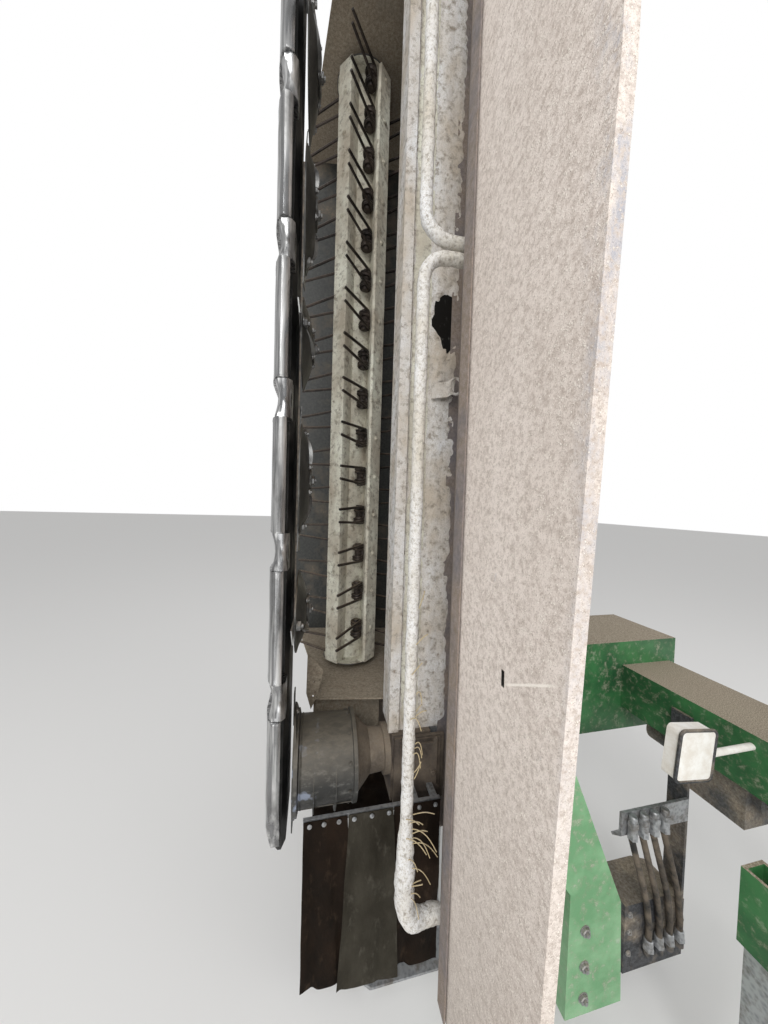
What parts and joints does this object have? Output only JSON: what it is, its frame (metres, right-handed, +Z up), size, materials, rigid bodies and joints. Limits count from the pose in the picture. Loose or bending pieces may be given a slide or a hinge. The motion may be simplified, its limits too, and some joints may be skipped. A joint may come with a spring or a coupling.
{
  "type": "disc mower conditioner",
  "caption": "Rear-mounted disc mower with a tined conditioner rotor, its wing folded upright on a side arm and standing on telescopic legs.",
  "frame": {"origin": "centre of the bounding box's base, on the ground", "axes": "+Z is up and runs along the folded cutterbar; -Y is the direction of travel; +X points from the cutterbar to the tractor's centreline"},
  "size_m": [1.9556, 2.1819, 3.636],
  "materials": {
    "green_paint": "worn green paint under dust",
    "slate_paint": "slate grey paint under dust",
    "dusty_paint": "paint caked with beige crop dust",
    "dusty_panel": "blue-grey paint speckled with beige dust",
    "dark_casting": "dark oily steel with sap film",
    "polished_steel": "ground polished steel",
    "bright_steel": "bare steel",
    "cast_housing": "dull grey",
    "grey_bracket": "grey, dusty",
    "hose_rubber": "matt black with dust",
    "lamp_lens": "cream, dusty",
    "galvanised": "dull zinc",
    "black_paint": "satin black, dusty",
    "chrome_rod": "polished",
    "curtain_fabric": "brown coated fabric, creased",
    "tine_steel": "dark rusty spring steel"
  },
  "bodies": {
    "headstock": {"headstock_frame": "green_paint", "link_pins": "bright_steel", "pivot_carrier": "green_paint", "main_gearbox": "cast_housing", "valve_box": "black_paint", "hose_bracket": "grey_bracket", "hydraulic_hoses": "hose_rubber", "work_lamp": "lamp_lens"},
    "pto_stub": {"pto_stub": "bright_steel"},
    "leg_left": {"leg_left": "galvanised"},
    "leg_right": {"leg_right": "galvanised"},
    "cylinder_barrel": {"cylinder_barrel": "black_paint"},
    "cylinder_rod": {"cylinder_rod": "chrome_rod"},
    "wing_leg_front": {"wing_leg_front": "galvanised"},
    "wing_leg_rear": {"wing_leg_rear": "galvanised"},
    "front_guard": {"front_guard": "dusty_panel"},
    "outer_guard": {"outer_guard": "slate_paint"},
    "swath_board_inner": {"swath_board_inner": "slate_paint"},
    "swath_board_outer": {"swath_board_outer": "slate_paint"},
    "rotor": {"rotor_core": "dusty_paint", "rotor_tines": "tine_steel"},
    "disc_1": {"disc_1": "dark_casting"},
    "disc_2": {"disc_2": "dark_casting"},
    "disc_3": {"disc_3": "dark_casting"},
    "disc_4": {"disc_4": "dark_casting"},
    "disc_5": {"disc_5": "dark_casting"},
    "disc_6": {"disc_6": "dark_casting"},
    "disc_7": {"disc_7": "dark_casting"},
    "wing": {"pivot_gusset": "green_paint", "lift_arm": "green_paint", "wing_hanger": "green_paint", "main_beam": "dusty_paint", "hood_top": "slate_paint", "inner_end_plate": "dusty_paint", "outer_end_plate": "dusty_paint", "rear_deflector": "slate_paint", "cutterbar": "dark_casting", "skids": "polished_steel", "wing_gearbox": "dusty_paint", "drive_neck": "dusty_paint", "rotor_bearings": "cast_housing", "guard_slope": "slate_paint", "guard_tubes": "dusty_paint", "curtain_rail": "grey_bracket", "side_curtain": "curtain_fabric", "leg_sleeves": "green_paint"}
  },
  "joints": [
    {"name": "arm_fold", "type": "hinge", "parent": "headstock", "child": "wing", "pos_m": [-0.26775, -0.199, 0.71], "axis": [0, -1, 0], "range_deg": [0, 90]},
    {"name": "lift_cylinder_turn", "type": "hinge", "parent": "headstock", "child": "cylinder_barrel", "pos_m": [0.27225, -0.099, 0.8], "axis": [0, -1, 0], "range_deg": [-1, 4]},
    {"name": "lift_cylinder_rod", "type": "slide", "parent": "cylinder_barrel", "child": "cylinder_rod", "axis": [-0.9998, 0, 0.0222], "range_m": [0, 0.1919]},
    {"name": "pto_spin", "type": "hinge", "parent": "headstock", "child": "pto_stub", "pos_m": [0.50225, -0.679, 0.69], "axis": [0, -1, 0], "continuous": true},
    {"name": "leg_left_slide", "type": "slide", "parent": "headstock", "child": "leg_left", "axis": [0, 0, 1], "range_m": [0, 0.3]},
    {"name": "leg_right_slide", "type": "slide", "parent": "headstock", "child": "leg_right", "axis": [0, 0, 1], "range_m": [0, 0.3]},
    {"name": "wing_leg_front_slide", "type": "slide", "parent": "wing", "child": "wing_leg_front", "axis": [0, 0, 1], "range_m": [0, 0.19]},
    {"name": "wing_leg_rear_slide", "type": "slide", "parent": "wing", "child": "wing_leg_rear", "axis": [0, 0, 1], "range_m": [0, 0.19]},
    {"name": "front_guard_fold", "type": "hinge", "parent": "wing", "child": "front_guard", "pos_m": [-0.53375, -0.642, 2.045], "axis": [0, 0, 1], "range_deg": [0, 90]},
    {"name": "outer_guard_fold", "type": "hinge", "parent": "wing", "child": "outer_guard", "pos_m": [-0.35875, -0.199, 3.586], "axis": [0, -1, 0], "range_deg": [0, 90]},
    {"name": "swath_board_inner_swing", "type": "hinge", "parent": "wing", "child": "swath_board_inner", "pos_m": [-0.65775, 0.671, 0.855], "axis": [1, 0, 0], "range_deg": [-15, 35]},
    {"name": "swath_board_outer_swing", "type": "hinge", "parent": "wing", "child": "swath_board_outer", "pos_m": [-0.65775, 0.671, 3.395], "axis": [-1, 0, 0], "range_deg": [-15, 35]},
    {"name": "rotor_spin", "type": "hinge", "parent": "wing", "child": "rotor", "pos_m": [-0.67375, 0.221, 2.045], "axis": [0, 0, 1], "continuous": true},
    {"name": "disc_1_spin", "type": "hinge", "parent": "wing", "child": "disc_1", "pos_m": [-0.90775, -0.199, 0.67], "axis": [1, 0, 0], "continuous": true},
    {"name": "disc_2_spin", "type": "hinge", "parent": "wing", "child": "disc_2", "pos_m": [-0.90775, -0.199, 1.185], "axis": [1, 0, 0], "continuous": true},
    {"name": "disc_3_spin", "type": "hinge", "parent": "wing", "child": "disc_3", "pos_m": [-0.90775, -0.199, 1.615], "axis": [1, 0, 0], "continuous": true},
    {"name": "disc_4_spin", "type": "hinge", "parent": "wing", "child": "disc_4", "pos_m": [-0.90775, -0.199, 2.045], "axis": [1, 0, 0], "continuous": true},
    {"name": "disc_5_spin", "type": "hinge", "parent": "wing", "child": "disc_5", "pos_m": [-0.90775, -0.199, 2.475], "axis": [1, 0, 0], "continuous": true},
    {"name": "disc_6_spin", "type": "hinge", "parent": "wing", "child": "disc_6", "pos_m": [-0.90775, -0.199, 2.905], "axis": [1, 0, 0], "continuous": true},
    {"name": "disc_7_spin", "type": "hinge", "parent": "wing", "child": "disc_7", "pos_m": [-0.90775, -0.199, 3.335], "axis": [1, 0, 0], "continuous": true}
  ],
  "couplings": [
    {"joint": "lift_cylinder_turn", "follows": "arm_fold", "ratio": 0.014145},
    {"joint": "lift_cylinder_rod", "follows": "arm_fold", "m_per_rad": 0.12089},
    {"joint": "disc_2_spin", "follows": "disc_1_spin", "ratio": -1},
    {"joint": "disc_3_spin", "follows": "disc_1_spin", "ratio": 1},
    {"joint": "disc_4_spin", "follows": "disc_1_spin", "ratio": -1},
    {"joint": "disc_5_spin", "follows": "disc_1_spin", "ratio": 1},
    {"joint": "disc_6_spin", "follows": "disc_1_spin", "ratio": -1},
    {"joint": "disc_7_spin", "follows": "disc_1_spin", "ratio": 1}
  ]
}
